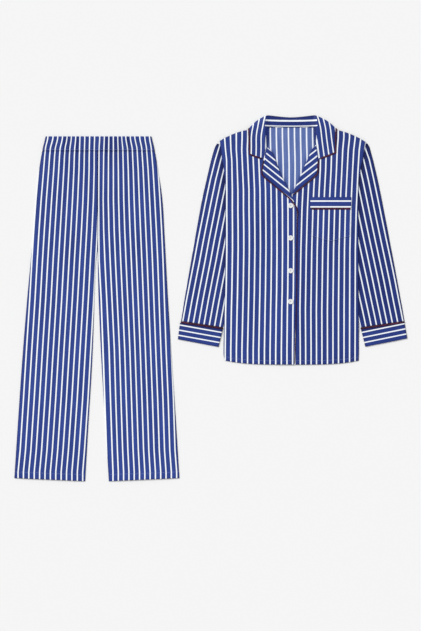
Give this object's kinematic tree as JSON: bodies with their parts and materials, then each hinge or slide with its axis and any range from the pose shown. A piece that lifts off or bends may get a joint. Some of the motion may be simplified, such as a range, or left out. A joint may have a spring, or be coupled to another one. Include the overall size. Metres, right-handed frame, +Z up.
{
  "type": "striped pyjama set",
  "caption": "Striped cotton pyjama set laid flat: jacket with piped notched collar, chest pocket and cuffs, and straight trousers with an elastic waist.",
  "frame": {"origin": "on the surface that the set lies on, below the middle of its outline", "axes": "+Z up, out of the fronts; +Y towards the necks; +X from the trousers to the jacket, towards the wearer's left"},
  "size_m": [1.1401, 1.0608, 0.0099],
  "materials": {
    "striped_cotton": "woven cotton sateen with a soft sheen, blue and white lengthwise stripes that repeat about every 16 mm, paler on the wrong side",
    "piping": "satin bias strip over a cord, dark maroon with a soft sheen",
    "button": "white pearl-like plastic, polished, with a raised rim"
  },
  "bodies": {
    "root": {"trouser_front_right": "striped_cotton", "trouser_back_right": "striped_cotton", "trouser_front_left": "striped_cotton", "trouser_back_left": "striped_cotton", "waistband": "striped_cotton", "jacket_back": "striped_cotton", "jacket_front_right": "striped_cotton", "jacket_front_left": "striped_cotton", "sleeve_right": "striped_cotton", "sleeve_left": "striped_cotton", "cuff_right": "striped_cotton", "cuff_left": "striped_cotton", "lapel_right": "striped_cotton", "lapel_left": "striped_cotton", "collar": "striped_cotton", "pocket": "striped_cotton", "pocket_band": "striped_cotton", "piping_front": "piping", "piping_lapel_left": "piping", "piping_collar": "piping", "piping_cuff_right": "piping", "piping_cuff_left": "piping", "piping_pocket": "piping", "button_1": "button", "button_2": "button", "button_3": "button", "button_4": "button"}
  },
  "joints": []
}
